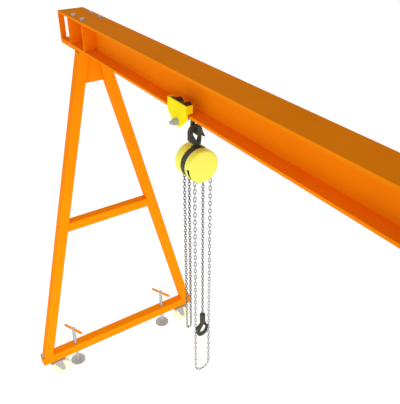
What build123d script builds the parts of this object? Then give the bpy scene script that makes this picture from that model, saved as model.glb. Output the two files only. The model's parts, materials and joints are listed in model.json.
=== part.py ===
from build123d import *
import math
import os

# Gantry crane: a beam on two A-frames that stand on swivel casters, with screw jacks in the
# foot tubes, a push trolley on the beam's lower flange and a hand chain hoist hung from it.
# Millimetres. +X runs along the beam, +Y to the rear, +Z up. The origin is on the floor,
# under the middle of the beam.

# Beam and its fittings
span = 3400.0
overhang = 236.0
beam_height = 160.0
flange_width = 148.0
flange_thick = 12.0
web_thick = 8.0
root_radius = 9.0
stiffener_spacing = 190.0
stiffener_thick = 8.0
stiffener_snipe = 14.0
end_stop_width = 30.0
end_stop_thick = 10.0
head_plate_thick = 12.0
head_plate_inboard = 97.0

# A-frames
leg_tube = 60.0
leg_wall = 4.0
leg_rise = 2003.0
leg_top_y = 48.3
leg_inset = 43.8
brace_tube = 60.0
brace_wall = 4.0
brace_rise = 965.0
gusset_depth = 173.0
gusset_thick = 10.0
foot_tube = 65.0
foot_wall = 4.0
foot_half_length = 590.0
tube_corner_radius = 6.0

# Casters
caster_inset = 96.0
caster_trail = 30.0
caster_height = 160.0
caster_plate_length = 105.0
caster_plate_width = 85.0
caster_plate_thick = 8.0
wheel_radius = 62.5
wheel_width = 36.0
wheel_edge = 5.0
hub_radius = 15.0
hub_width = 39.0
axle_radius = 6.0
fork_gap = 41.0
fork_thick = 4.0
fork_eye_radius = 15.0
fork_half_length = 27.0
fork_bridge_thick = 5.0
crown_radius = 30.0
crown_height = 9.0
kingpin_radius = 7.0

# Screw jacks
jack_inset = 244.0
jack_screw_radius = 10.5
jack_foot_radius = 50.0
jack_foot_thick = 9.0
jack_foot_lift = 58.0
jack_socket_radius = 17.0
jack_socket_height = 12.0
jack_handle_height = 361.0
jack_handle_radius = 8.5
jack_handle_length = 150.0
jack_handle_turn = 25.0
jack_head_radius = 12.0
jack_head_height = 22.0

# Trolley
trolley_x = -656.0
trolley_half_length = 70.0
trolley_plate_thick = 6.0
trolley_plate_gap = 164.0
trolley_top = 51.0
trolley_shoulder = 6.0
trolley_tip = 51.0
trolley_tip_width = 34.0
trolley_corner_radius = 12.0
trolley_lip_depth = 30.0
trolley_lip_bottom = 18.0
trolley_wheel_radius = 20.0
trolley_wheel_rim_radius = 26.0
trolley_wheel_rim_thick = 2.5
trolley_wheel_inner_y = 48.0
trolley_wheel_spacing = 64.0
trolley_axle_radius = 6.0
trolley_bolt_radius = 8.0
trolley_bolt_drop = 31.0
trolley_bolt_reach = 32.0
trolley_nut_flats = 24.0
trolley_nut_thick = 16.0
trolley_washer_radius = 15.0
trolley_washer_thick = 3.0

# Hanger eye between the trolley bolt and the top hook
hanger_thick = 16.0
hanger_boss_radius = 16.0
hanger_half_width = 30.0
hanger_window_width = 36.0
hanger_bar_radius = 12.0
hanger_bar_drop = 63.0
hanger_window_top = 16.0

# Hooks
hook_throat_radius = 17.5
hook_crown = 18.0
hook_back = 20.0
hook_tip = 11.0
hook_thick = 16.0
hook_shank_width = 22.0
hook_neck_slope = 24.0
top_hook_beak_reach = 42.0
top_hook_beak_rise = 26.0
load_hook_beak_reach = 36.0
load_hook_beak_rise = 20.0
hook_beak_width = 7.0
hook_corner_radius = 1.0
hook_edge_radius = 3.0
hook_latch_room = 5.5
latch_pivot_u = 12.0
latch_pivot_drop = 12.0
latch_pin_radius = 3.0
latch_lug_radius = 8.0
latch_ear_radius = 6.0
latch_ear_thick = 2.0
latch_tongue_thick = 3.0
latch_end_u = 20.0
latch_end_v = 12.0

# Hoist
hoist_drop = 140.0
hoist_frame_radius = 70.0
hoist_frame_front = 26.0
hoist_frame_back = 9.5
hoist_seat_width = 36.0
top_hook_shank = 60.0
hand_cover_radius = 73.0
hand_cover_length = 35.0
hand_cover_wall = 3.0
hand_slot_rise = 5.0
gear_cover_radius = 73.0
gear_cover_length = 47.5
gear_cover_wall = 14.5
cover_edge = 10.0
hand_wheel_length = 16.0

# Chains, drawn as bars with the cross section of a link chain
link_width = 13.0
link_wire = 4.0
load_chain_y = 35.0
slack_chain_y = -58.0
slack_chain_drop = 922.0
slack_chain_rise = 10.0
hand_chain_x = 50.0
hand_chain_y = 39.0
hand_chain_drop = 1207.0
chain_pocket_margin = 2.5
chain_pocket_depth = 30.0

# Hook block
block_radius = 14.5
block_height = 56.0
block_top_drop = 876.0
block_edge = 4.0
block_chain_depth = 14.0
load_hook_shank = 55.0
swivel_pin_radius = 7.0
swivel_pin_length = 20.0

# Clearances
running_fit = 0.05
seat_gap = 0.3

# Levels and places that follow from the sizes above
frame_sides = {"left": -span / 2, "right": span / 2}
row_sides = {"front": -1, "rear": 1}
beam_half = span / 2 + overhang
leg_bottom_y = foot_half_length - leg_inset
caster_y = foot_half_length - caster_inset
jack_y = foot_half_length - jack_inset
foot_bottom_z = caster_height + caster_plate_thick
foot_top_z = foot_bottom_z + foot_tube
leg_top_z = foot_top_z + leg_rise
beam_bottom_z = leg_top_z + head_plate_thick
beam_top_z = beam_bottom_z + beam_height
flange_seat_z = beam_bottom_z + flange_thick
lean = math.atan2(leg_bottom_y - leg_top_y, leg_rise)
leg_width_y = leg_tube / math.cos(lean)
wheel_axle_z = flange_seat_z + seat_gap + trolley_wheel_radius
plate_inner_y = trolley_plate_gap / 2
plate_outer_y = plate_inner_y + trolley_plate_thick
bolt_z = beam_bottom_z - trolley_bolt_drop
bar_z = bolt_z - hanger_bar_drop
top_hook_z = bar_z + hanger_bar_radius + seat_gap - hook_throat_radius
hoist_z = bar_z - hoist_drop
hoist_seat_z = top_hook_z - top_hook_shank
chain_ceiling_z = hoist_z - hoist_frame_radius + chain_pocket_depth
block_top_z = hoist_z - block_top_drop
block_bottom_z = block_top_z - block_height
load_hook_z = block_bottom_z - seat_gap - load_hook_shank


def box(x0, x1, y0, y1, z0, z1):
    middle = Pos((x0 + x1) / 2, (y0 + y1) / 2, (z0 + z1) / 2)
    return middle * Box(x1 - x0, y1 - y0, z1 - z0)


def round_x(radius, x0, x1, y, z):
    return Pos((x0 + x1) / 2, y, z) * Rot(0, 90, 0) * Cylinder(radius, x1 - x0)


def round_y(radius, y0, y1, x, z):
    return Pos(x, (y0 + y1) / 2, z) * Rot(90, 0, 0) * Cylinder(radius, y1 - y0)


def round_z(radius, z0, z1, x, y):
    return Pos(x, y, (z0 + z1) / 2) * Cylinder(radius, z1 - z0)


def plate_xz(outline, y0, y1):
    return extrude(Plane.XZ.offset(-y0) * outline, amount=y1 - y0, dir=(0, 1, 0))


def plate_yz(outline, x0, x1):
    return extrude(Plane.YZ.offset(x0) * outline, amount=x1 - x0, dir=(1, 0, 0))


def outline_of(*points):
    """Flat face with these corners, run anticlockwise so that faces join cleanly."""
    pairs = zip(points, points[1:] + points[:1])
    turn = sum(a[0] * b[1] - b[0] * a[1] for a, b in pairs)
    return Polygon(*(points if turn > 0 else reversed(points)), align=None)


def turned_x(points):
    """Solid of revolution about X from (x, radius) points."""
    return revolve(make_face(Polyline(*points, close=True)), Axis.X)


def turned_y(points):
    """Solid of revolution about Y from (y, radius) points."""
    return revolve(make_face(Polyline(*[(r, y) for y, r in points], close=True)), Axis.Y)


def main_beam():
    half_flange = flange_width / 2
    half_web = web_thick / 2
    web_low = flange_thick
    web_high = beam_height - flange_thick
    quarter = [(half_flange, 0), (half_flange, web_low), (half_web, web_low)]
    quarter += [(half_web, web_high), (half_flange, web_high), (half_flange, beam_height)]
    section = outline_of(*quarter, *[(-y, z) for y, z in reversed(quarter)])
    roots = [v for v in section.vertices() if abs(abs(v.X) - half_web) < half_web / 2]
    section = fillet(roots, root_radius)
    return plate_yz(Pos(0, beam_bottom_z) * section, -beam_half, beam_half)


def web_stiffeners():
    """Plates between the flanges on both sides of the web, sniped at the root fillets."""
    half_web = web_thick / 2
    half_flange = flange_width / 2
    low = flange_seat_z
    high = beam_top_z - flange_thick
    snipe = stiffener_snipe
    outline = outline_of((half_web, low + snipe), (half_web + snipe, low), (half_flange, low),
                         (half_flange, high), (half_web + snipe, high), (half_web, high - snipe))
    plates = []
    for frame_x in frame_sides.values():
        for offset in (-stiffener_spacing / 2, stiffener_spacing / 2):
            x0 = frame_x + offset - stiffener_thick / 2
            plate = plate_yz(outline, x0, x0 + stiffener_thick)
            plates += [plate, plate.mirror(Plane.XZ)]
    return Compound(children=plates)


def end_stops():
    """Upright bars between the flanges at both ends of the beam."""
    outer = flange_width / 2
    bars = []
    for end in (-1, 1):
        x0, x1 = sorted((end * beam_half, end * (beam_half - end_stop_thick)))
        for side in (-1, 1):
            y0, y1 = sorted((side * outer, side * (outer - end_stop_width)))
            bars.append(box(x0, x1, y0, y1, flange_seat_z, beam_top_z - flange_thick))
    return Compound(children=bars)


def head_plate(frame_x):
    """Plate under the beam's end that the legs are welded to."""
    inward = -math.copysign(1, frame_x)
    x0, x1 = sorted((frame_x - inward * overhang, frame_x + inward * head_plate_inboard))
    half = flange_width / 2
    return box(x0, x1, -half, half, leg_top_z, beam_bottom_z)


def leg_y(z):
    """Distance of a leg's centreline from the middle at height z."""
    return leg_bottom_y - (z - foot_top_z) * math.tan(lean)


def leg(frame_x, side):
    slant = Vector(0, side * (leg_top_y - leg_bottom_y), leg_rise)
    hollow_x = leg_tube - 2 * leg_wall
    hollow_y = leg_width_y - 2 * leg_wall / math.cos(lean)
    section = RectangleRounded(leg_tube, leg_width_y, tube_corner_radius)
    section -= RectangleRounded(hollow_x, hollow_y, tube_corner_radius - leg_wall)
    foot = Pos(frame_x, side * leg_bottom_y, foot_top_z) * section
    return extrude(foot, amount=slant.length, dir=slant.normalized())


def rounded_along_y(bar, radius):
    """Round the four long edges of a bar that runs along Y."""
    return fillet(bar.edges().filter_by(Axis.Y), radius)


def between_legs(z0, z1):
    """Outline of a piece that fills the width between the two legs of an A-frame."""
    low = leg_y(z0) - leg_width_y / 2
    high = leg_y(z1) - leg_width_y / 2
    return outline_of((-low, z0), (low, z0), (high, z1), (-high, z1))


def brace(frame_x):
    middle = foot_top_z + brace_rise
    half = brace_tube / 2
    hollow = half - brace_wall
    tube = plate_yz(between_legs(middle - half, middle + half), frame_x - half, frame_x + half)
    inside = plate_yz(between_legs(middle - hollow, middle + hollow), frame_x - hollow, frame_x + hollow)
    tube = rounded_along_y(tube, tube_corner_radius)
    return tube - rounded_along_y(inside, tube_corner_radius - brace_wall)


def gusset(frame_x):
    outline = between_legs(leg_top_z - gusset_depth, leg_top_z)
    return plate_yz(outline, frame_x - gusset_thick / 2, frame_x + gusset_thick / 2)


def foot_beam(frame_x):
    """Square foot tube with capped ends and through holes for the jack screws."""
    half = foot_tube / 2
    hollow = half - foot_wall
    reach = foot_half_length
    tube = box(frame_x - half, frame_x + half, -reach, reach, foot_bottom_z, foot_top_z)
    inside = box(frame_x - hollow, frame_x + hollow, -reach + foot_wall, reach - foot_wall,
                 foot_bottom_z + foot_wall, foot_top_z - foot_wall)
    tube = rounded_along_y(tube, tube_corner_radius) - rounded_along_y(inside, tube_corner_radius - foot_wall)
    for side in row_sides.values():
        tube -= round_z(jack_screw_radius + running_fit, foot_bottom_z, foot_top_z, frame_x, side * jack_y)
    return tube


def caster_plates():
    """Mounting plates under the foot tubes, bored for the kingpins."""
    half_x = caster_plate_width / 2
    half_y = caster_plate_length / 2
    plates = []
    for x in frame_sides.values():
        for side in row_sides.values():
            y = side * caster_y
            plate = box(x - half_x, x + half_x, y - half_y, y + half_y, caster_height, foot_bottom_z)
            plates.append(plate - round_z(kingpin_radius + running_fit, caster_height, foot_bottom_z, x, y))
    return Compound(children=plates)


def caster_fork(x, y):
    """Swivelling fork: crown and kingpin, bridge, two cheeks and the wheel's axle."""
    crown_top = caster_height - seat_gap
    bridge_top = crown_top - crown_height
    bridge_low = bridge_top - fork_bridge_thick
    inner = fork_gap / 2
    outer = inner + fork_thick
    axle_y = y + caster_trail
    fork = round_z(crown_radius, bridge_top, crown_top, x, y)
    fork += round_z(kingpin_radius, crown_top, foot_bottom_z - seat_gap, x, y)
    fork += box(x - outer, x + outer, y - fork_half_length, y + fork_half_length, bridge_low, bridge_top)
    eye = Pos(axle_y, wheel_radius) * Circle(fork_eye_radius)
    root = outline_of((y - fork_half_length, bridge_top), (y + fork_half_length, bridge_top),
                      (y + fork_half_length, bridge_low), (y - fork_half_length, bridge_low))
    cheek = make_hull(eye.edges() + root.edges())
    fork += plate_yz(cheek, x - outer, x - inner)
    fork += plate_yz(cheek, x + inner, x + outer)
    return fork + round_x(axle_radius, x - outer, x + outer, axle_y, wheel_radius)


def caster_wheel(x, y):
    bore = axle_radius + running_fit
    half = wheel_width / 2
    hub = hub_width / 2
    rim = wheel_radius - wheel_edge
    half_profile = [(hub, bore), (hub, hub_radius), (half - wheel_edge, hub_radius), (half, rim),
                    (half - wheel_edge, wheel_radius)]
    profile = half_profile + [(-a, r) for a, r in reversed(half_profile)]
    return Pos(x, y + caster_trail, wheel_radius) * turned_x(profile)


def jack_screw(x, y):
    """Screw with the head that its cross handle goes through."""
    foot_top = jack_foot_lift + jack_foot_thick
    head_low = jack_handle_height - jack_head_height / 2
    screw = round_z(jack_screw_radius, foot_top, head_low, x, y)
    screw += round_z(jack_head_radius, head_low, head_low + jack_head_height, x, y)
    return screw - jack_bar(x, y, jack_handle_radius + running_fit)


def jack_bar(x, y, radius):
    bar = Rot(0, 0, jack_handle_turn) * round_x(radius, -jack_handle_length / 2, jack_handle_length / 2, 0, 0)
    return Pos(x, y, jack_handle_height) * bar


def jack_foot(x, y):
    """Round foot with a raised socket around the end of the screw."""
    foot_top = jack_foot_lift + jack_foot_thick
    foot = round_z(jack_foot_radius, jack_foot_lift, foot_top, x, y)
    foot += round_z(jack_socket_radius, foot_top, foot_top + jack_socket_height, x, y)
    return foot - round_z(jack_screw_radius + running_fit, foot_top, foot_top + jack_socket_height, x, y)


def trolley_plate(side):
    """Side plate tapered towards the cross bolt, with both ends bent in over the flange."""
    top = beam_bottom_z + trolley_top
    shoulder = beam_bottom_z - trolley_shoulder
    tip = beam_bottom_z - trolley_tip
    half = trolley_half_length
    half_tip = trolley_tip_width / 2
    outline = outline_of((-half, top), (half, top), (half, shoulder), (half_tip, tip),
                         (-half_tip, tip), (-half, shoulder))
    low_corners = outline.vertices().sort_by(Axis.Y)[:4]
    outline = fillet(low_corners, trolley_corner_radius)
    outline -= Pos(0, bolt_z) * Circle(trolley_bolt_radius + running_fit)
    for x in trolley_wheel_places():
        outline -= Pos(x, wheel_axle_z) * Circle(trolley_axle_radius + running_fit)
    plate = plate_xz(outline, plate_inner_y, plate_outer_y)
    lip_inner_y = plate_outer_y - trolley_lip_depth
    lip_low = beam_bottom_z + trolley_lip_bottom
    thick = trolley_plate_thick
    for x0 in (-half, half - thick):
        plate += box(x0, x0 + thick, lip_inner_y, plate_outer_y, lip_low, top)
    if side < 0:
        plate = plate.mirror(Plane.XZ)
    return Pos(trolley_x, 0, 0) * plate


def trolley_wheel_places():
    return (-trolley_wheel_spacing / 2, trolley_wheel_spacing / 2)


def trolley_axles():
    """Four stub axles, each welded in flush with the outside of a side plate."""
    axles = []
    for offset in trolley_wheel_places():
        x = trolley_x + offset
        inner = trolley_wheel_inner_y - seat_gap
        axle = round_y(trolley_axle_radius, inner, plate_outer_y, x, wheel_axle_z)
        axles += [axle, axle.mirror(Plane.XZ)]
    return Compound(children=axles)


def trolley_wheel(offset, side):
    """Flanged wheel: its tread runs on the beam's flange, its rim outside the flange's edge."""
    bore = trolley_axle_radius + running_fit
    outer = plate_inner_y - seat_gap
    rim_start = outer - trolley_wheel_rim_thick
    inner = trolley_wheel_inner_y
    profile = [(inner, bore), (inner, trolley_wheel_radius), (rim_start, trolley_wheel_radius),
               (rim_start, trolley_wheel_rim_radius), (outer, trolley_wheel_rim_radius), (outer, bore)]
    wheel = turned_y([(side * y, r) for y, r in profile])
    return Pos(trolley_x + offset, 0, wheel_axle_z) * wheel


def trolley_bolt():
    """Cross bolt with a washer and a hexagon nut outside each plate."""
    end = plate_outer_y + trolley_bolt_reach
    bolt = round_y(trolley_bolt_radius, -end, end, 0, bolt_z)
    washer_end = plate_outer_y + trolley_washer_thick
    nut_end = washer_end + trolley_nut_thick
    nut_face = Pos(0, bolt_z) * RegularPolygon(trolley_nut_flats / 2, 6, major_radius=False)
    for y0, y1 in ((plate_outer_y, washer_end), (-washer_end, -plate_outer_y)):
        bolt += round_y(trolley_washer_radius, y0, y1, 0, bolt_z)
    for y0, y1 in ((washer_end, nut_end), (-nut_end, -washer_end)):
        bolt += plate_xz(nut_face, y0, y1)
    return Pos(trolley_x, 0, 0) * bolt


def hanger():
    """Eye that swings on the cross bolt; its round lower bar carries the top hook."""
    half = hanger_half_width
    boss = Pos(0, bolt_z) * Circle(hanger_boss_radius)
    lower = outline_of((-half, bar_z), (half, bar_z), (half, bolt_z - hanger_boss_radius * 2),
                       (-half, bolt_z - hanger_boss_radius * 2))
    window_half = hanger_window_width / 2
    window_top = bolt_z - hanger_window_top
    window = outline_of((-window_half, bar_z), (window_half, bar_z), (window_half, window_top),
                        (-window_half, window_top))
    outline = make_hull(boss.edges() + lower.edges()) - window
    outline -= Pos(0, bolt_z) * Circle(trolley_bolt_radius + running_fit)
    eye = plate_xz(outline, -hanger_thick / 2, hanger_thick / 2)
    eye += round_x(hanger_bar_radius, -half, half, 0, bar_z)
    return Pos(trolley_x, 0, 0) * eye


def hook_outline(shank_length, beak_reach, beak_rise):
    """Side view of a hook about its throat centre, with the shank up and the tip at the right."""
    pivot = Pos(latch_pivot_u, shank_length - latch_pivot_drop)
    neck_rise = shank_length - latch_pivot_drop / 2
    left = -hook_throat_radius - hook_back
    right = hook_throat_radius + hook_tip
    bowl_radius = (right - left) / 2
    bowl_y = (right + left) / 2
    bowl_z = bowl_radius - hook_throat_radius - hook_crown
    half_shank = hook_shank_width / 2
    far = hook_throat_radius + shank_length
    body = Pos(bowl_y, bowl_z) * Circle(bowl_radius)
    body += outline_of((left, bowl_z), (left, neck_rise - hook_neck_slope), (-half_shank, neck_rise),
                       (half_shank, neck_rise), (half_shank, 0), (0, bowl_z))
    lip = math.sqrt(hook_throat_radius ** 2 - bowl_z ** 2)
    body -= outline_of((half_shank, bowl_z), (far, bowl_z), (far, far), (half_shank, far))
    body += outline_of((-half_shank, 0), (half_shank, 0), (half_shank, shank_length), (-half_shank, shank_length))
    body += outline_of((lip, bowl_z), (right, bowl_z), (beak_reach, beak_rise),
                       (beak_reach - hook_beak_width, beak_rise),
                       (hook_throat_radius + hook_tip / 2, beak_rise / 2))
    throat = Circle(hook_throat_radius)
    latch_end = pivot * Circle(hook_latch_room)
    body -= make_hull(throat.edges() + latch_end.edges())
    body += pivot * Circle(latch_lug_radius)
    return fillet(body.vertices(), hook_corner_radius)


def hook(shank_length, beak_reach, beak_rise):
    """Forged hook about its throat centre, in the YZ plane, with the shank up and the tip at +Y."""
    body = plate_yz(hook_outline(shank_length, beak_reach, beak_rise), -hook_thick / 2, hook_thick / 2)
    sides = body.faces().filter_by(Axis.X)
    body = fillet(sides.edges(), hook_edge_radius)
    bore = round_x(latch_pin_radius + running_fit, -hook_thick / 2, hook_thick / 2, latch_pivot_u,
                   shank_length - latch_pivot_drop)
    return body - bore


def latch(shank_length):
    """Spring latch: two ears on a pin through the hook, and a tongue to the hook's tip."""
    pivot = Vector(latch_pivot_u, shank_length - latch_pivot_drop)
    ear_inner = hook_thick / 2 + seat_gap
    ear_outer = ear_inner + latch_ear_thick
    eye = Pos(pivot.X, pivot.Y) * Circle(latch_ear_radius)
    end = Vector(latch_end_u, latch_end_v)
    along = (end - pivot).normalized()
    across = Vector(-along.Y, along.X) * (latch_tongue_thick / 2)
    start = pivot + along * (latch_lug_radius + seat_gap)
    tongue = outline_of(*[(p.X, p.Y) for p in (start - across, start + across, end + across, end - across)])
    ear = make_hull(eye.edges() + tongue.edges())
    pin = round_x(latch_pin_radius, -ear_outer, ear_outer, pivot.X, pivot.Y)
    solid = pin + plate_yz(ear, ear_inner, ear_outer) + plate_yz(ear, -ear_outer, -ear_inner)
    return solid + plate_yz(tongue, -ear_outer, ear_outer)


def place_top_hook(piece):
    """Turn a hook piece over so that its shank points down, and put it on the hanger's bar."""
    return Pos(trolley_x, 0, top_hook_z) * piece.mirror(Plane.XY)


def top_hook():
    return place_top_hook(hook(top_hook_shank, top_hook_beak_reach, top_hook_beak_rise))


def place_load_hook(piece):
    return Pos(trolley_x, load_chain_y, load_hook_z) * piece


def place_hoist(piece):
    return Pos(trolley_x, 0, hoist_z) * piece


def link_bars(outline_wide, outline_narrow):
    """Cross-shaped bar for a chain: flat links and upright links over the same path."""
    bar = plate_yz(outline_wide, -link_wire / 2, link_wire / 2)
    return bar + plate_yz(outline_narrow, -link_width / 2, link_width / 2)


def strand_outline(y, z0, z1, width):
    return outline_of((y - width / 2, z0), (y + width / 2, z0), (y + width / 2, z1), (y - width / 2, z1))


def loop_outline(y0, y1, z0, z1, width):
    """Closed chain loop between two runs, with round ends about z0 and z1."""
    middle = Pos((y0 + y1) / 2, (z0 + z1) / 2) * Rot(0, 0, 90)
    gap = y1 - y0
    length = z1 - z0
    return middle * (SlotCenterToCenter(length, gap + width) - SlotCenterToCenter(length, gap - width))


def hoist_frame():
    """Round body between the covers, with the top hook's seat, the hand wheel and chain pockets."""
    front = hoist_frame_front
    back = -hoist_frame_back
    body = round_x(hoist_frame_radius, back, front, 0, 0)
    seat = hoist_seat_width / 2
    body += box(back, front, -seat, seat, 0, hoist_seat_z - hoist_z)
    hand_wheel_radius = hand_chain_y - link_width / 2 - seat_gap
    body += round_x(hand_wheel_radius, front, hand_chain_x + hand_wheel_length / 2 - link_width / 2, 0, 0)
    pocket = link_width / 2 + chain_pocket_margin
    ceiling = chain_ceiling_z - hoist_z
    for y, top in ((slack_chain_y, slack_chain_rise), (-load_chain_y, ceiling), (load_chain_y, ceiling)):
        body -= box(-pocket, pocket, y - pocket, y + pocket, -hoist_frame_radius, top)
    return place_hoist(body)


def drum(radius, length, rim_radius):
    """Round solid about X, flat at x = 0, with a rounded rim round its face."""
    half_section = outline_of((0, 0), (length, 0), (length, radius), (0, radius))
    rim = [v for v in half_section.vertices() if v.X > length / 2 and v.Y > radius / 2]
    return revolve(fillet(rim, rim_radius), Axis.X)


def hand_wheel_cover():
    """Front cover, slotted at the lower sides where the hand chain leaves it."""
    wall = hand_cover_wall
    cover = drum(hand_cover_radius, hand_cover_length, cover_edge)
    cover -= drum(hand_cover_radius - wall, hand_cover_length - wall, cover_edge - wall)
    cover = Pos(hoist_frame_front, 0, 0) * cover
    pocket = link_width / 2 + chain_pocket_margin
    x0 = hand_chain_x - pocket
    x1 = min(hand_chain_x + pocket, hoist_frame_front + hand_cover_length - wall)
    for side in (-1, 1):
        y0, y1 = sorted((side * hand_cover_radius, side * (hand_chain_y - pocket)))
        cover -= box(x0, x1, y0, y1, -hand_cover_radius, hand_slot_rise)
    return place_hoist(cover)


def gear_cover():
    """Rear cover, a closed thick-walled casting."""
    wall = gear_cover_wall
    casting = drum(gear_cover_radius, gear_cover_length, cover_edge)
    casting -= drum(gear_cover_radius - wall, gear_cover_length - wall, cover_edge)
    return place_hoist((Pos(hoist_frame_back, 0, 0) * casting).mirror(Plane.YZ))


def hand_chain():
    """Endless hand chain: over the hand wheel and down in one loop."""
    low = hoist_z - hand_chain_drop + hand_chain_y
    wide = loop_outline(-hand_chain_y, hand_chain_y, low, hoist_z, link_width)
    narrow = loop_outline(-hand_chain_y, hand_chain_y, low, hoist_z, link_wire)
    return Pos(trolley_x + hand_chain_x, 0, 0) * link_bars(wide, narrow)


def slack_outline(width):
    """Slack end's path: from the lifting wheel's side, round the bottom and up to its anchor."""
    runs = (slack_chain_y, -load_chain_y)
    low = hoist_z - slack_chain_drop + (runs[1] - runs[0]) / 2
    above = outline_of((-hoist_drop, chain_ceiling_z), (hoist_drop, chain_ceiling_z),
                       (hoist_drop, hoist_z + hoist_drop), (-hoist_drop, hoist_z + hoist_drop))
    hanging = loop_outline(*runs, low, hoist_z, width) - above
    return hanging + strand_outline(slack_chain_y, chain_ceiling_z, hoist_z + slack_chain_rise, width)


def slack_chain():
    return Pos(trolley_x, 0, 0) * link_bars(slack_outline(link_width), slack_outline(link_wire))


def load_chain():
    """Straight load strand from the hoist down into the hook block."""
    low = block_top_z - block_chain_depth + seat_gap
    wide = strand_outline(load_chain_y, low, chain_ceiling_z, link_width)
    narrow = strand_outline(load_chain_y, low, chain_ceiling_z, link_wire)
    return Pos(trolley_x, 0, 0) * link_bars(wide, narrow)


def hook_block():
    """Round block on the end of the load chain, bored for the hook's swivel pin."""
    block = round_z(block_radius, block_bottom_z, block_top_z, 0, 0)
    block = chamfer(block.edges().filter_by(GeomType.CIRCLE), block_edge)
    slot = link_width / 2 + running_fit
    wire = link_wire / 2 + running_fit
    floor = block_top_z - block_chain_depth
    block -= box(-wire, wire, -slot, slot, floor, block_top_z)
    block -= box(-slot, slot, -wire, wire, floor, block_top_z)
    bore_top = block_bottom_z + swivel_pin_length
    block -= round_z(swivel_pin_radius + running_fit, block_bottom_z, bore_top, 0, 0)
    return Pos(trolley_x, load_chain_y, 0) * block


def load_hook():
    """Lower hook with the pin that it swivels on."""
    forging = hook(load_hook_shank, load_hook_beak_reach, load_hook_beak_rise)
    pin_top = load_hook_shank + swivel_pin_length
    return place_load_hook(forging + round_z(swivel_pin_radius, load_hook_shank, pin_top, 0, 0))


def save(name, shape):
    export_step(shape, os.path.join("parts", name + ".step"))


def save_frame():
    save("main_beam", main_beam())
    save("web_stiffeners", web_stiffeners())
    save("end_stops", end_stops())
    save("caster_plates", caster_plates())
    for hand, x in frame_sides.items():
        save("head_plate_" + hand, head_plate(x))
        save("gusset_" + hand, gusset(x))
        save("brace_" + hand, brace(x))
        save("foot_tube_" + hand, foot_beam(x))
        for row, side in row_sides.items():
            save("leg_" + row + "_" + hand, leg(x, side))


def save_casters_and_jacks():
    for hand, x in frame_sides.items():
        for row, side in row_sides.items():
            corner = row + "_" + hand
            save("caster_fork_" + corner, caster_fork(x, side * caster_y))
            save("caster_wheel_" + corner, caster_wheel(x, side * caster_y))
            save("jack_screw_" + corner, jack_screw(x, side * jack_y))
            save("jack_handle_" + corner, jack_bar(x, side * jack_y, jack_handle_radius))
            save("jack_foot_" + corner, jack_foot(x, side * jack_y))


def save_trolley():
    save("trolley_axles", trolley_axles())
    save("trolley_bolt", trolley_bolt())
    save("hanger", hanger())
    for row, side in row_sides.items():
        save("trolley_plate_" + row, trolley_plate(side))
        for hand, offset in zip(frame_sides, trolley_wheel_places()):
            save("trolley_wheel_" + row + "_" + hand, trolley_wheel(offset, side))


def save_hoist():
    save("hoist_frame", hoist_frame())
    save("hand_wheel_cover", hand_wheel_cover())
    save("gear_cover", gear_cover())
    save("top_hook", top_hook())
    save("top_hook_latch", place_top_hook(latch(top_hook_shank)))
    save("hand_chain", hand_chain())
    save("slack_chain", slack_chain())
    save("load_chain", load_chain())
    save("hook_block", hook_block())
    save("load_hook", load_hook())
    save("load_hook_latch", place_load_hook(latch(load_hook_shank)))


os.makedirs("parts", exist_ok=True)
save_frame()
save_casters_and_jacks()
save_trolley()
save_hoist()
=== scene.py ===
import json
import math

import bpy
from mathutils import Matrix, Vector


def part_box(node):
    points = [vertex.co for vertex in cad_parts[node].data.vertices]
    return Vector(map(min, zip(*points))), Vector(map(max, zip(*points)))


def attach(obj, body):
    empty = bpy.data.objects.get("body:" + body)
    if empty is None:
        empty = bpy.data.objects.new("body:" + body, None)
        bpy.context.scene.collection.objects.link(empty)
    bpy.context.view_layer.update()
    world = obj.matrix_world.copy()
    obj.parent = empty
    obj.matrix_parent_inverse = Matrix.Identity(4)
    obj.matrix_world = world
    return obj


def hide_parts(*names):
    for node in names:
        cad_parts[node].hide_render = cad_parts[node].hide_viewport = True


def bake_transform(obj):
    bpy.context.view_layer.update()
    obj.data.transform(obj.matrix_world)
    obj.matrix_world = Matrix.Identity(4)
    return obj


bl_info = {
    "name": "Gantry crane finish",
    "version": (1, 0, 0),
    "blender": (4, 5, 0),
    "location": "3D View > Sidebar > Gantry crane",
    "description": "Paint, chains, fasteners and studio for the portable gantry crane",
    "category": "Object",
}

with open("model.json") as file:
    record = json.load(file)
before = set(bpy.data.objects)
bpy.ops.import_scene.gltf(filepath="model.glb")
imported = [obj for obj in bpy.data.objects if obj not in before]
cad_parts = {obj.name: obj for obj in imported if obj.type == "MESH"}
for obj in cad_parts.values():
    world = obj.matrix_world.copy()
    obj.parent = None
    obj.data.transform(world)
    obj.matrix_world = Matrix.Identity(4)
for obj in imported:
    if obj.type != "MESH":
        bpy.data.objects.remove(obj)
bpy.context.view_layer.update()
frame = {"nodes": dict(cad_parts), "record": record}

MM = 0.001
UP = (0.0, 0.0, 1.0)
DOWN = (0.0, 0.0, -1.0)
HANDS = ("left", "right")
CORNERS = [row + "_" + hand for hand in HANDS for row in ("front", "rear")]

# Degrees past which an edge stays sharp, on links, threads and hexagons
LINK_CREASE = 80
THREAD_CREASE = 30
HEXAGON_CREASE = 35

# Straight steps in the bends of the two chain loops
HAND_BEND_STEPS = 12
SLACK_BEND_STEPS = 8

# A link's bend, as a share of its width: just under half, so that two bends never meet
LINK_BEND_SHARE = 0.499

# Stacked shapes of a fastener: sides, width, bottom and top, the last three as shares of the flats
BOLT_HEAD = ((6, 1.155, 0.0, 0.3), (24, 0.95, 0.3, 0.42))
NUT_ON_BOLT = ((24, 1.18, 0.0, 0.1), (6, 1.155, 0.1, 0.68), (16, 0.62, 0.68, 0.86))

# Noise values over which a finish drifts from its dim tone to its full one
NOISE_LOW = 0.35
NOISE_HIGH = 0.65

# Height of a finish's relief, as a share of the grain's width
RELIEF_SHARE = 0.1

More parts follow.
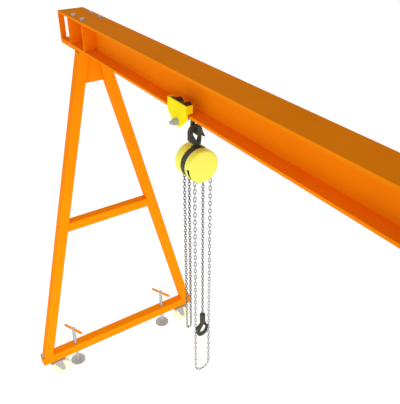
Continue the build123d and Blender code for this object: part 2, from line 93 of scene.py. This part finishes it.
SENSOR_WIDTH_MM = 36.0
FLOOR_REACH = 60.0
WHITE = (1.0, 1.0, 1.0, 1.0)
PAPER_WHITE = (0.86, 0.86, 0.86, 1.0)


class CraneColours(bpy.types.PropertyGroup):
    """Colours of the crane's paints and metals."""
    orange: bpy.props.StringProperty(
        name="Orange coat", description="Beam, A-frames and handles", default="#F68806")
    trolley: bpy.props.StringProperty(
        name="Trolley yellow", description="Side plates of the trolley", default="#F8E404")
    hoist: bpy.props.StringProperty(
        name="Hoist yellow", description="Both covers of the hoist", default="#E9E75E")
    forged: bpy.props.StringProperty(
        name="Forged black", description="Hooks, hanger and hoist frame", default="#3C3D2F")
    chain: bpy.props.StringProperty(
        name="Chain zinc", description="Links of the load and hand chains", default="#5F5E5A")
    bright: bpy.props.StringProperty(
        name="Bright steel", description="Jack screws, bolts and nuts", default="#AFB5B3")
    zinc: bpy.props.StringProperty(
        name="Zinc pressing", description="Caster forks and plates", default="#A9ABA9")
    iron: bpy.props.StringProperty(
        name="Wheel iron", description="Trolley wheels", default="#2C2A26")
    tread: bpy.props.StringProperty(
        name="Caster tread", description="Cast polyurethane wheels", default="#F7F6C6")


class CraneSizes(bpy.types.PropertyGroup):
    """Sizes of the pieces that dress the crane."""
    load_pitch: bpy.props.FloatProperty(
        name="Load chain pitch", description="Inner length of a load chain link",
        default=0.014, unit="LENGTH")
    load_wire: bpy.props.FloatProperty(
        name="Load chain wire", description="Wire of a load chain link",
        default=0.0034, unit="LENGTH")
    load_facing: bpy.props.FloatVectorProperty(
        name="Load chain facing", description="Way that every second link of the load chain faces",
        size=3, default=(0.95, -0.30, 0.0), subtype="DIRECTION")
    hand_pitch: bpy.props.FloatProperty(
        name="Hand chain pitch", description="Inner length of a hand chain link",
        default=0.0192, unit="LENGTH")
    hand_wire: bpy.props.FloatProperty(
        name="Hand chain wire", description="Wire of a hand chain link",
        default=0.0034, unit="LENGTH")
    hand_facing: bpy.props.FloatVectorProperty(
        name="Hand chain facing", description="Way that every second link of the hand chain faces",
        size=3, default=(0.84, -0.54, 0.0), subtype="DIRECTION")
    link_width: bpy.props.FloatProperty(
        name="Link width", description="Outer width of every link",
        default=0.014, unit="LENGTH")
    bolt_flats: bpy.props.FloatProperty(
        name="Frame bolt", description="Across flats of the bolts and nuts on the beam and foot tubes",
        default=0.024, unit="LENGTH")
    beam_bolt_x: bpy.props.FloatProperty(
        name="Beam bolt, along", description="From an A-frame's middle to its bolts, along the beam",
        default=0.060, unit="LENGTH")
    beam_bolt_y: bpy.props.FloatProperty(
        name="Beam bolt, across", description="From the web's middle to the bolts",
        default=0.050, unit="LENGTH")
    foot_nut_inset: bpy.props.FloatProperty(
        name="Foot nut inset", description="From a foot tube's end to the nut on it",
        default=0.017, unit="LENGTH")
    caster_plate_length: bpy.props.FloatProperty(
        name="Caster plate", description="Length of a caster plate",
        default=0.105, unit="LENGTH")
    caster_bolt_x: bpy.props.FloatProperty(
        name="Caster bolt, across", description="From the kingpin to the plate's bolts",
        default=0.034, unit="LENGTH")
    caster_bolt_inset: bpy.props.FloatProperty(
        name="Caster bolt inset", description="From the plate's end to its bolts",
        default=0.0105, unit="LENGTH")
    caster_bolt_flats: bpy.props.FloatProperty(
        name="Caster bolt", description="Across flats of the caster plates' bolts",
        default=0.013, unit="LENGTH")
    screw_radius: bpy.props.FloatProperty(
        name="Jack screw", description="Radius of the jack screws",
        default=0.0105, unit="LENGTH")
    thread_pitch: bpy.props.FloatProperty(
        name="Jack thread", description="Pitch of the jack screws' thread",
        default=0.005, unit="LENGTH")
    thread_wire: bpy.props.FloatProperty(
        name="Jack thread ridge", description="Half thickness of the thread's ridge",
        default=0.0013, unit="LENGTH")


class StudioSettings(bpy.types.PropertyGroup):
    """Camera and light."""
    eye: bpy.props.FloatVectorProperty(
        name="Camera place", description="Where the camera stands",
        size=3, default=(1.0164, -1.0712, 3.0418), subtype="XYZ", unit="LENGTH")
    aim: bpy.props.FloatVectorProperty(
        name="Camera direction", description="Direction that the camera looks in",
        size=3, default=(-0.7128, 0.4649, -0.5252), subtype="DIRECTION")
    lens: bpy.props.FloatProperty(
        name="Lens", description="Focal length on a 36 mm sensor, in mm", default=47.44)
    key: bpy.props.FloatProperty(
        name="Key light", description="Strength of the broad low light on the crane's front",
        default=0.2)
    key_direction: bpy.props.FloatVectorProperty(
        name="Key direction", description="Direction that the key light shines in",
        size=3, default=(-0.10, 0.99, -0.10), subtype="DIRECTION")
    key_angle: bpy.props.FloatProperty(
        name="Key width", description="Angle that the key light fills, seen from the crane",
        default=math.radians(35), subtype="ANGLE")
    box: bpy.props.FloatProperty(
        name="Softbox", description="Power of the gridded softbox, in W",
        default=13.5)
    box_place: bpy.props.FloatVectorProperty(
        name="Softbox place", description="Where the softbox stands",
        size=3, default=(1.1, -1.5, 2.3), subtype="XYZ", unit="LENGTH")
    box_size: bpy.props.FloatProperty(
        name="Softbox size", description="Side of the softbox's square face",
        default=0.9, unit="LENGTH")
    box_spread: bpy.props.FloatProperty(
        name="Softbox spread", description="Angle that the softbox's grid lets through",
        default=math.radians(75), subtype="ANGLE")
    fill: bpy.props.FloatProperty(
        name="Sky fill", description="Strength of the light from above and all round", default=0.57)
    floor_glow: bpy.props.FloatProperty(
        name="Floor bounce", description="Strength of the light that the white floor throws up",
        default=0.75)
    floor_seen: bpy.props.FloatProperty(
        name="Floor white", description="Glow that makes the seen floor white outside the shadows",
        default=0.51)


def colours():
    """The scene's CraneColours."""
    return bpy.context.scene.crane_colours


def sizes():
    """The scene's CraneSizes."""
    return bpy.context.scene.crane_sizes


def studio():
    """The scene's StudioSettings."""
    return bpy.context.scene.crane_studio


def middle(node):
    """The middle of a CAD node's box."""
    low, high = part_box(node)
    return (low + high) / 2


def linear(hex_colour):
    """An sRGB hex colour as linear RGBA."""
    parts = [int(hex_colour[i:i + 2], 16) / 255 for i in (1, 3, 5)]
    return tuple(c / 12.92 if c <= 0.04045 else ((c + 0.055) / 1.055) ** 2.4 for c in parts) + (1.0,)


def add_node(tree, kind, values=None, links=None, **settings):
    """Add a node with its settings, its constant inputs and its links from other sockets."""
    node = tree.nodes.new(kind)
    for key, value in settings.items():
        setattr(node, key, value)
    for key, value in (values or {}).items():
        node.inputs[key].default_value = value
    for key, socket in (links or {}).items():
        tree.links.new(socket, node.inputs[key])
    return node


def surface(name, colour, roughness, metallic=0.0, specular=0.5, patch_mm=60.0, patch_depth=0.05,
            sheen_change=0.05, grain_mm=4.0, grain_depth=0.1, stretch=(1.0, 1.0, 1.0)):
    """A finish whose colour and gloss drift a little over patches of a real size, with a fine relief."""
    material = bpy.data.materials.new(name)
    material.use_nodes = True
    tree = material.node_tree
    shader = tree.nodes["Principled BSDF"]
    shader.inputs["Metallic"].default_value = metallic
    shader.inputs["Specular IOR Level"].default_value = specular
    full = linear(colour)
    dim = tuple(c * (1 - patch_depth) for c in full[:3]) + (1.0,)
    place = add_node(tree, "ShaderNodeTexCoord")
    turned = add_node(tree, "ShaderNodeMapping", {"Scale": stretch}, {"Vector": place.outputs["Object"]})
    patch = add_node(tree, "ShaderNodeTexNoise", {"Scale": 1 / (patch_mm * MM), "Detail": 3.0},
                     {"Vector": turned.outputs["Vector"]})
    spread = add_node(tree, "ShaderNodeMapRange", {"From Min": NOISE_LOW, "From Max": NOISE_HIGH},
                      {"Value": patch.outputs["Fac"]})
    tint = add_node(tree, "ShaderNodeMix", {"A": dim, "B": full}, {"Factor": spread.outputs["Result"]},
                    data_type="RGBA")
    tree.links.new(tint.outputs["Result"], shader.inputs["Base Color"])
    gloss = add_node(tree, "ShaderNodeMapRange", {"To Min": roughness + sheen_change, "To Max": roughness},
                     {"Value": spread.outputs["Result"]})
    tree.links.new(gloss.outputs["Result"], shader.inputs["Roughness"])
    grain = add_node(tree, "ShaderNodeTexNoise", {"Scale": 1 / (grain_mm * MM), "Detail": 2.0},
                     {"Vector": turned.outputs["Vector"]})
    relief = add_node(tree, "ShaderNodeBump",
                      {"Strength": grain_depth, "Distance": grain_mm * MM * RELIEF_SHARE},
                      {"Height": grain.outputs["Fac"]})
    tree.links.new(relief.outputs["Normal"], shader.inputs["Normal"])
    return material


def orange_powder_coat():
    """Powder coat on steel: an even matt orange with a faint orange peel, drawn coarse so that it shows."""
    return surface("orange_powder_coat", colours().orange, 0.6, specular=0.01, patch_mm=260.0,
                   patch_depth=0.05, grain_mm=6.0, grain_depth=0.08)


def yellow_gloss_enamel():
    """Sprayed enamel on pressed plate: a strong lemon yellow with a soft shine."""
    return surface("yellow_gloss_enamel", colours().trolley, 0.42, specular=0.04, patch_mm=70.0,
                   patch_depth=0.06, grain_mm=5.0, grain_depth=0.06)


def pale_yellow_enamel():
    """Enamel on the hoist's pressed covers: paler than the trolley, with a broad soft shine."""
    return surface("pale_yellow_enamel", colours().hoist, 0.4, specular=0.12, patch_mm=80.0,
                   patch_depth=0.05, grain_mm=5.0, grain_depth=0.06)


def forged_black_steel():
    """Drop-forged steel, blackened and oiled: dark with scale patches and a dull sheen."""
    return surface("forged_black_steel", colours().forged, 0.46, specular=0.25, patch_mm=14.0,
                   patch_depth=0.35, sheen_change=0.14, grain_mm=2.5, grain_depth=0.3)


def galvanised_chain_steel():
    """Welded chain, zinc plated: dull grey that changes from link to link, with small bright glints."""
    return surface("galvanised_chain_steel", colours().chain, 0.36, metallic=0.4, patch_mm=9.0,
                   patch_depth=0.3, sheen_change=0.15, grain_mm=1.5, grain_depth=0.1)


def bright_turned_steel():
    """Turned steel, zinc plated: pale grey, with tool rings round an upright axis, drawn coarse to show."""
    return surface("bright_turned_steel", colours().bright, 0.36, metallic=0.35, patch_mm=3.0,
                   patch_depth=0.1, sheen_change=0.1, grain_mm=1.5, grain_depth=0.1,
                   stretch=(0.05, 0.05, 1.0))


def zinc_plated_pressing():
    """Zinc plated sheet: as grey as the turned steel but duller, mottled by the zinc's crystals."""
    return surface("zinc_plated_pressing", colours().zinc, 0.42, metallic=0.45, patch_mm=7.0,
                   patch_depth=0.14, sheen_change=0.12, grain_mm=3.0, grain_depth=0.05)


def turned_wheel_iron():
    """Turned cast iron with grease on it: nearly black, blotched."""
    return surface("turned_wheel_iron", colours().iron, 0.48, patch_mm=10.0, patch_depth=0.3,
                   sheen_change=0.15, grain_mm=2.0, grain_depth=0.15)


def cast_polyurethane():
    """Cast polyurethane tread: a pale waxy yellow."""
    return surface("cast_polyurethane", colours().tread, 0.46, specular=0.4, patch_mm=30.0,
                   patch_depth=0.04, grain_mm=4.0, grain_depth=0.05)


FINISHES = {
    "orange_paint": orange_powder_coat,
    "trolley_yellow": yellow_gloss_enamel,
    "hoist_yellow": pale_yellow_enamel,
    "forged_steel": forged_black_steel,
    "chain_steel": galvanised_chain_steel,
    "screw_steel": bright_turned_steel,
    "zinc_plate": zinc_plated_pressing,
    "wheel_iron": turned_wheel_iron,
    "caster_tread": cast_polyurethane,
}


def finish_of(slot):
    """The material for one of the record's slots, made once."""
    made = FINISHES[slot].__name__
    return bpy.data.materials.get(made) or FINISHES[slot]()


def slot_of(node):
    """The record's material slot of a CAD node."""
    return next(row["material_slot"] for row in frame["record"]["subparts"] if row["node"] == node)


def add_object(name, data):
    """An object for a mesh, curve, lamp or camera, linked to the scene."""
    made = bpy.data.objects.new(name, data)
    bpy.context.scene.collection.objects.link(made)
    return made


def smooth_by_angle(mesh, degrees):
    """Smooth shading with the edges that turn more than this kept sharp."""
    for face in mesh.polygons:
        face.use_smooth = True
    mesh.set_sharp_from_angle(angle=math.radians(degrees))


def put_on(piece, body, slot, *nodes):
    """Ride the piece on a body, give it a finish and let it stand for CAD nodes."""
    piece.data.materials.clear()
    piece.data.materials.append(finish_of(slot))
    if nodes:
        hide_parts(*nodes)
    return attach(piece, body)


def node_tree(name, inputs):
    """An empty geometry tree with a geometry input, named size inputs and a geometry output."""
    tree = bpy.data.node_groups.new(name, "GeometryNodeTree")
    tree.interface.new_socket("Geometry", in_out="INPUT", socket_type="NodeSocketGeometry")
    for label, kind in inputs.items():
        tree.interface.new_socket(label, in_out="INPUT", socket_type=kind)
    tree.interface.new_socket("Geometry", in_out="OUTPUT", socket_type="NodeSocketGeometry")
    return tree


def close_tree(tree, geometry):
    """End a tree in real geometry with its material."""
    entry = tree.nodes["Group Input"].outputs
    real = add_node(tree, "GeometryNodeRealizeInstances", links={"Geometry": geometry})
    coated = add_node(tree, "GeometryNodeSetMaterial", links={
        "Geometry": real.outputs["Geometry"], "Material": entry["Finish"]})
    add_node(tree, "NodeGroupOutput", links={"Geometry": coated.outputs["Geometry"]})


def grown(name, start, tree, values):
    """Run a geometry tree on a start object and keep the result as a plain mesh piece."""
    modifier = start.modifiers.new("grow", "NODES")
    modifier.node_group = tree
    for item in tree.interface.items_tree:
        if item.item_type == "SOCKET" and item.in_out == "INPUT" and item.name in values:
            modifier[item.identifier] = values[item.name]
    bpy.context.view_layer.update()
    evaluated = start.evaluated_get(bpy.context.evaluated_depsgraph_get())
    mesh = bpy.data.meshes.new_from_object(evaluated)
    start.modifiers.remove(modifier)
    bpy.data.objects.remove(start)
    mesh.name = name
    return add_object(name, mesh)


class CRANE_OT_paint(bpy.types.Operator):
    """Give every CAD node the finish of its material slot"""
    bl_idname = "crane.paint"
    bl_label = "Paint and metals"

    def execute(self, context):
        for name, node in frame["nodes"].items():
            node.data.materials.clear()
            node.data.materials.append(finish_of(slot_of(name)))
        return {"FINISHED"}


def chain_tree():
    """Links along a curve: each is a bent wire, and every second one is turned a quarter."""
    tree = node_tree("welded_chain", {
        "Links": "NodeSocketInt", "Pitch": "NodeSocketFloat", "Wire": "NodeSocketFloat",
        "Width": "NodeSocketFloat", "Facing": "NodeSocketVector", "Finish": "NodeSocketMaterial"})
    entry = add_node(tree, "NodeGroupInput").outputs
    length = add_node(tree, "ShaderNodeMath", links={0: entry["Pitch"], 1: entry["Wire"]},
                      operation="ADD")
    across = add_node(tree, "ShaderNodeMath", links={0: entry["Width"], 1: entry["Wire"]},
                      operation="SUBTRACT")
    bend = add_node(tree, "ShaderNodeMath", {1: LINK_BEND_SHARE}, {0: across.outputs[0]},
                    operation="MULTIPLY")
    flat = add_node(tree, "GeometryNodeCurvePrimitiveQuadrilateral",
                    links={"Width": length.outputs[0], "Height": across.outputs[0]})
    oval = add_node(tree, "GeometryNodeFilletCurve", {"Count": 3, "Limit Radius": True},
                    {"Curve": flat.outputs["Curve"], "Radius": bend.outputs[0]}, mode="POLY")
    half_wire = add_node(tree, "ShaderNodeMath", {1: 0.5}, {0: entry["Wire"]}, operation="MULTIPLY")
    wire = add_node(tree, "GeometryNodeCurvePrimitiveCircle", {"Resolution": 6},
                    {"Radius": half_wire.outputs[0]})
    link = add_node(tree, "GeometryNodeCurveToMesh",
                    links={"Curve": oval.outputs["Curve"], "Profile Curve": wire.outputs["Curve"]})
    points = add_node(tree, "GeometryNodeCurveToPoints",
                      links={"Curve": entry["Geometry"], "Count": entry["Links"]}, mode="COUNT")
    along = add_node(tree, "FunctionNodeAxesToRotation", links={
        "Primary Axis": points.outputs["Tangent"], "Secondary Axis": entry["Facing"]},
        primary_axis="X", secondary_axis="Z")
    index = add_node(tree, "GeometryNodeInputIndex")
    odd = add_node(tree, "ShaderNodeMath", {1: 2.0}, {0: index.outputs["Index"]}, operation="MODULO")
    quarter = add_node(tree, "ShaderNodeMath", {1: math.pi / 2}, {0: odd.outputs[0]},
                       operation="MULTIPLY")
    spin = add_node(tree, "FunctionNodeAxisAngleToRotation", {"Axis": (1.0, 0.0, 0.0)},
                    {"Angle": quarter.outputs[0]})
    turned = add_node(tree, "FunctionNodeRotateRotation", links={
        "Rotation": along.outputs["Rotation"], "Rotate By": spin.outputs["Rotation"]},
        rotation_space="LOCAL")
    placed = add_node(tree, "GeometryNodeInstanceOnPoints", links={
        "Points": points.outputs["Points"], "Instance": link.outputs["Mesh"],
        "Rotation": turned.outputs["Rotation"]})
    close_tree(tree, placed.outputs["Instances"])
    return tree


def arc_points(x, y, z, radius, start, stop, steps):
    """Points of an arc in the YZ plane, with angles in degrees from +Y towards +Z."""
    angles = [math.radians(start + (stop - start) * i / steps) for i in range(steps + 1)]
    return [(x, y + radius * math.cos(a), z + radius * math.sin(a)) for a in angles]


def path_object(name, points, closed):
    """A poly curve through points, for a chain to follow."""
    curve = bpy.data.curves.new(name, "CURVE")
    curve.dimensions = "3D"
    run = curve.splines.new("POLY")
    run.points.add(len(points) - 1)
    for spot, place in zip(run.points, points):
        spot.co = (*place, 1.0)
    run.use_cyclic_u = closed
    return add_object(name, curve)


def path_length(points, closed):
    """Length of the straight runs between points, and back to the first where the path is closed."""
    ring = points + points[:1] if closed else points
    return sum((Vector(a) - Vector(b)).length for a, b in zip(ring, ring[1:]))


def link_count(length, pitch, closed):
    """Whole links on a path: an even number on a loop, so that flat and upright links take turns."""
    count = max(2, round(length / pitch))
    return count + count % 2 if closed else count + 1


def chain(name, points, closed, pitch, wire, facing):
    """A run of links along points, with a whole number of links at about the given pitch."""
    count = link_count(path_length(points, closed), pitch, closed)
    values = {"Links": count, "Pitch": pitch, "Wire": wire, "Width": sizes().link_width,
              "Facing": facing, "Finish": finish_of("chain_steel")}
    piece = grown(name, path_object(name + "_path", points, closed), chain_tree(), values)
    smooth_by_angle(piece.data, LINK_CREASE)
    return piece


def hand_chain_loop():
    """The hand chain's closed loop: two straight runs between half circles, inside the CAD bar's box."""
    low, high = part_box("hand_chain")
    spot = middle("hand_chain")
    bar = high.x - low.x
    half = (high.y - low.y) / 2
    radius = half - bar / 2
    top = arc_points(spot.x, spot.y, high.z - half, radius, 0, 180, HAND_BEND_STEPS)
    bottom = arc_points(spot.x, spot.y, low.z + half, radius, 180, 360, HAND_BEND_STEPS)
    return top + bottom


def slack_chain_run():
    """The slack end's path: down from its anchor, round its bend and up to the load sheave."""
    low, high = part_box("slack_chain")
    spot = middle("slack_chain")
    bar = high.x - low.x
    half = (high.y - low.y) / 2
    radius = half - bar / 2
    anchor = (spot.x, spot.y - radius, high.z)
    sheave = (spot.x, spot.y + radius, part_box("load_chain")[1].z)
    return [anchor, *arc_points(spot.x, spot.y, low.z + half, radius, 180, 360, SLACK_BEND_STEPS), sheave]


def load_chain_ends():
    """Both ends of the load strand, half a bar inside its CAD bar's box."""
    low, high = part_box("load_chain")
    spot = middle("load_chain")
    bar = high.x - low.x
    return [(spot.x, spot.y, high.z - bar / 2), (spot.x, spot.y, low.z + bar / 2)]


class CRANE_OT_chains(bpy.types.Operator):
    """Build the hand chain, the load strand and its slack end from single links"""
    bl_idname = "crane.chains"
    bl_label = "Chains"

    def execute(self, context):
        hand_links = (sizes().hand_pitch, sizes().hand_wire, sizes().hand_facing)
        load_links = (sizes().load_pitch, sizes().load_wire, sizes().load_facing)
        hand = chain("hand_chain_links", hand_chain_loop(), True, *hand_links)
        put_on(hand, "hoist", "chain_steel", "hand_chain")
        slack = chain("slack_chain_links", slack_chain_run(), False, *load_links)
        put_on(slack, "hoist", "chain_steel", "slack_chain")
        ends = load_chain_ends()
        load = chain("load_chain_links", ends, False, *load_links)
        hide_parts("load_chain")
        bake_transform(load)
        return {"FINISHED"}


def thread_tree():
    """A screw thread's ridge, wound upwards from each point."""
    tree = node_tree("screw_thread", {
        "Radius": "NodeSocketFloat", "Height": "NodeSocketFloat", "Turns": "NodeSocketFloat",
        "Ridge": "NodeSocketFloat", "Finish": "NodeSocketMaterial"})
    entry = add_node(tree, "NodeGroupInput").outputs
    winding = add_node(tree, "GeometryNodeCurveSpiral", {"Resolution": 14}, {
        "Rotations": entry["Turns"], "Start Radius": entry["Radius"], "End Radius": entry["Radius"],
        "Height": entry["Height"]})
    section = add_node(tree, "GeometryNodeCurvePrimitiveCircle", {"Resolution": 4},
                       {"Radius": entry["Ridge"]})
    ridge = add_node(tree, "GeometryNodeCurveToMesh", {"Fill Caps": True},
                     {"Curve": winding.outputs["Curve"], "Profile Curve": section.outputs["Curve"]})
    points = add_node(tree, "GeometryNodeMeshToPoints", links={"Mesh": entry["Geometry"]})
    placed = add_node(tree, "GeometryNodeInstanceOnPoints", links={
        "Points": points.outputs["Points"], "Instance": ridge.outputs["Mesh"]})
    close_tree(tree, placed.outputs["Instances"])
    return tree


def jack_thread(corner, tree):
    """The thread of one jack screw, from its foot up to its head, which the handle's bar goes through."""
    name = "jack_thread_" + corner
    spot = middle("jack_screw_" + corner)
    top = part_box("jack_screw_" + corner)[1].z
    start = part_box("jack_foot_" + corner)[1].z
    head_height = 2 * (top - middle("jack_handle_" + corner).z)
    height = top - head_height - start
    ridge = sizes().thread_wire
    mesh = bpy.data.meshes.new(name + "_start")
    mesh.from_pydata([(spot.x, spot.y, start)], [], [])
    piece = grown(name, add_object(name + "_start", mesh), tree, {
        "Radius": sizes().screw_radius - ridge / 2, "Height": height,
        "Turns": height / sizes().thread_pitch, "Ridge": ridge, "Finish": finish_of("screw_steel")})
    smooth_by_angle(piece.data, THREAD_CREASE)
    return piece


class CRANE_OT_threads(bpy.types.Operator):
    """Wind the thread round each jack screw, from its foot up to its head"""
    bl_idname = "crane.threads"
    bl_label = "Jack threads"

    def execute(self, context):
        tree = thread_tree()
        for corner in CORNERS:
            put_on(jack_thread(corner, tree), "jack_" + corner, "screw_steel")
        return {"FINISHED"}


def fastener_tree(stack):
    """A bolt head, or a nut with its washer and bolt end, standing at each point along its direction."""
    tree = node_tree("hexagon_fasteners", {"Flats": "NodeSocketFloat", "Finish": "NodeSocketMaterial"})
    entry = add_node(tree, "NodeGroupInput").outputs
    shapes = add_node(tree, "GeometryNodeJoinGeometry")
    for sides, across, low, high in stack:
        radius = add_node(tree, "ShaderNodeMath", {1: across / 2}, {0: entry["Flats"]},
                          operation="MULTIPLY")
        depth = add_node(tree, "ShaderNodeMath", {1: high - low}, {0: entry["Flats"]},
                         operation="MULTIPLY")
        rise = add_node(tree, "ShaderNodeMath", {1: (high + low) / 2}, {0: entry["Flats"]},
                        operation="MULTIPLY")
        shape = add_node(tree, "GeometryNodeMeshCylinder", {"Vertices": sides},
                         {"Radius": radius.outputs[0], "Depth": depth.outputs[0]})
        lift = add_node(tree, "ShaderNodeCombineXYZ", links={"Z": rise.outputs[0]})
        moved = add_node(tree, "GeometryNodeTransform", links={
            "Geometry": shape.outputs["Mesh"], "Translation": lift.outputs["Vector"]})
        tree.links.new(moved.outputs["Geometry"], shapes.inputs["Geometry"])
    facing = add_node(tree, "GeometryNodeInputNamedAttribute", {"Name": "facing"},
                      data_type="FLOAT_VECTOR")
    stand = add_node(tree, "FunctionNodeAlignRotationToVector",
                     links={"Vector": facing.outputs["Attribute"]}, axis="Z")
    points = add_node(tree, "GeometryNodeMeshToPoints", links={"Mesh": entry["Geometry"]})
    placed = add_node(tree, "GeometryNodeInstanceOnPoints", links={
        "Points": points.outputs["Points"], "Instance": shapes.outputs["Geometry"],
        "Rotation": stand.outputs["Rotation"]})
    close_tree(tree, placed.outputs["Instances"])
    return tree


def fasteners(name, places, flats, stack):
    """Hexagon fasteners on the frame; places are (point, outward direction) pairs."""
    mesh = bpy.data.meshes.new(name + "_points")
    mesh.from_pydata([point for point, _ in places], [], [])
    facing = mesh.attributes.new("facing", "FLOAT_VECTOR", "POINT")
    facing.data.foreach_set("vector", [part for _, direction in places for part in direction])
    piece = grown(name, add_object(name + "_points", mesh), fastener_tree(stack),
                  {"Flats": flats, "Finish": finish_of("screw_steel")})
    smooth_by_angle(piece.data, HEXAGON_CREASE)
    return put_on(piece, "frame", "screw_steel")


def beam_bolt_places():
    """Four places on the beam's top flange over each A-frame, two on each side of the web."""
    size = sizes()
    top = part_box("main_beam")[1].z
    return [((middle("foot_tube_" + hand).x + end * size.beam_bolt_x, side * size.beam_bolt_y, top), UP)
            for hand in HANDS for side in (-1, 1) for end in (-1, 1)]


def foot_nut_places():
    """A place on top of each foot tube near both of its ends."""
    places = []
    for hand in HANDS:
        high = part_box("foot_tube_" + hand)[1]
        reach = high.y - sizes().foot_nut_inset
        places += [((middle("foot_tube_" + hand).x, side * reach, high.z), UP) for side in (-1, 1)]
    return places


def caster_bolt_places():
    """Four places under each caster plate, near its corners."""
    size = sizes()
    low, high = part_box("caster_plates")
    insets = (size.caster_bolt_inset, size.caster_plate_length - size.caster_bolt_inset)
    places = []
    for corner in CORNERS:
        pivot = middle("caster_fork_" + corner)
        end = math.copysign(1, pivot.y)
        places += [((pivot.x + side * size.caster_bolt_x, end * (high.y - inset), low.z), DOWN)
                   for side in (-1, 1) for inset in insets]
    return places


class CRANE_OT_fasteners(bpy.types.Operator):
    """Bolt the beam to its head plates and the casters to the foot tubes"""
    bl_idname = "crane.fasteners"
    bl_label = "Nuts and bolts"

    def execute(self, context):
        fasteners("beam_bolts", beam_bolt_places(), sizes().bolt_flats, BOLT_HEAD)
        fasteners("foot_nuts", foot_nut_places(), sizes().bolt_flats, NUT_ON_BOLT)
        fasteners("caster_bolts", caster_bolt_places(), sizes().caster_bolt_flats, NUT_ON_BOLT)
        return {"FINISHED"}


def look_along(thing, direction):
    """Turn a camera or lamp to face along a direction."""
    thing.rotation_mode = "QUATERNION"
    thing.rotation_quaternion = Vector(direction).to_track_quat("-Z", "Y")


def add_camera():
    """The camera, fitted to the photograph's view."""
    lens = bpy.data.cameras.new("camera")
    lens.lens = studio().lens
    lens.sensor_width = SENSOR_WIDTH_MM
    camera = add_object("camera", lens)
    camera.location = studio().eye
    look_along(camera, studio().aim)
    bpy.context.scene.camera = camera


def add_key():
    """A broad low light on the front of the beam."""
    sun = bpy.data.lights.new("key", "SUN")
    sun.energy = studio().key
    sun.angle = studio().key_angle
    key = add_object("key", sun)
    look_along(key, studio().key_direction)


def add_softbox():
    """A gridded softbox, aimed at the left A-frame's foot tube."""
    panel = bpy.data.lights.new("softbox", "AREA")
    panel.energy = studio().box
    panel.size = studio().box_size
    panel.spread = studio().box_spread
    softbox = add_object("softbox", panel)
    softbox.location = studio().box_place
    look_along(softbox, middle("foot_tube_left") - softbox.location)


def seen_rays(tree):
    """1 on the rays that show a surface: straight, in a reflection or through glass."""
    rays = add_node(tree, "ShaderNodeLightPath").outputs
    shown = add_node(tree, "ShaderNodeMath", links={0: rays["Is Camera Ray"], 1: rays["Is Glossy Ray"]},
                     operation="MAXIMUM")
    shown = add_node(tree, "ShaderNodeMath", links={0: shown.outputs[0], 1: rays["Is Transmission Ray"]},
                     operation="MAXIMUM")
    return shown.outputs[0]


def add_sky():
    """A white studio all round, which lights the crane at the fill's strength and is seen as white."""
    world = bpy.data.worlds.new("studio")
    bpy.context.scene.world = world
    world.use_nodes = True
    tree = world.node_tree
    strength = add_node(tree, "ShaderNodeMapRange", {"To Min": studio().fill, "To Max": 1.0},
                        {"Value": seen_rays(tree)})
    sky = tree.nodes["Background"]
    sky.inputs["Color"].default_value = WHITE
    tree.links.new(strength.outputs["Result"], sky.inputs["Strength"])


def white_floor_paper():
    """Matt white paper that takes the shadow and glows, at one level to light and at another to see."""
    paper = bpy.data.materials.new("white_floor_paper")
    paper.use_nodes = True
    tree = paper.node_tree
    tree.nodes.remove(tree.nodes["Principled BSDF"])
    matt = add_node(tree, "ShaderNodeBsdfDiffuse", {"Color": PAPER_WHITE})
    lift = add_node(tree, "ShaderNodeMapRange",
                    {"To Min": studio().floor_glow, "To Max": studio().floor_seen},
                    {"Value": seen_rays(tree)})
    glow = add_node(tree, "ShaderNodeEmission", links={"Strength": lift.outputs["Result"]})
    both = add_node(tree, "ShaderNodeAddShader", links={0: matt.outputs[0], 1: glow.outputs[0]})
    tree.links.new(both.outputs[0], tree.nodes["Material Output"].inputs["Surface"])
    return paper


def add_floor():
    """A wide floor under the casters."""
    mesh = bpy.data.meshes.new("floor")
    corners = ((-1, -1), (1, -1), (1, 1), (-1, 1))
    mesh.from_pydata([(x * FLOOR_REACH, y * FLOOR_REACH, 0.0) for x, y in corners], [], [(0, 1, 2, 3)])
    mesh.materials.append(white_floor_paper())
    floor = add_object("floor", mesh)


class CRANE_OT_stage(bpy.types.Operator):
    """Floor, white studio, light and the camera"""
    bl_idname = "crane.stage"
    bl_label = "Studio"

    def execute(self, context):
        context.scene.view_settings.view_transform = "Standard"
        add_camera()
        add_key()
        add_softbox()
        add_sky()
        add_floor()
        return {"FINISHED"}


OPERATORS = (CRANE_OT_paint, CRANE_OT_chains, CRANE_OT_threads, CRANE_OT_fasteners, CRANE_OT_stage)


class CRANE_PT_panel(bpy.types.Panel):
    """Lists the crane's finishing steps"""
    bl_idname = "CRANE_PT_panel"
    bl_label = "Gantry crane"
    bl_space_type = "VIEW_3D"
    bl_region_type = "UI"
    bl_category = "Gantry crane"

    def draw(self, context):
        for operator in OPERATORS:
            self.layout.operator(operator.bl_idname)


CLASSES = (CraneColours, CraneSizes, StudioSettings, *OPERATORS, CRANE_PT_panel)


def register():
    for kind in CLASSES:
        bpy.utils.register_class(kind)
    bpy.types.Scene.crane_colours = bpy.props.PointerProperty(type=CraneColours)
    bpy.types.Scene.crane_sizes = bpy.props.PointerProperty(type=CraneSizes)
    bpy.types.Scene.crane_studio = bpy.props.PointerProperty(type=StudioSettings)


def unregister():
    del bpy.types.Scene.crane_studio
    del bpy.types.Scene.crane_sizes
    del bpy.types.Scene.crane_colours
    for kind in reversed(CLASSES):
        bpy.utils.unregister_class(kind)


def main():
    """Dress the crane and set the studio."""
    register()
    bpy.ops.crane.paint()
    bpy.ops.crane.chains()
    bpy.ops.crane.threads()
    bpy.ops.crane.fasteners()
    bpy.ops.crane.stage()


if __name__ == "__main__":
    main()
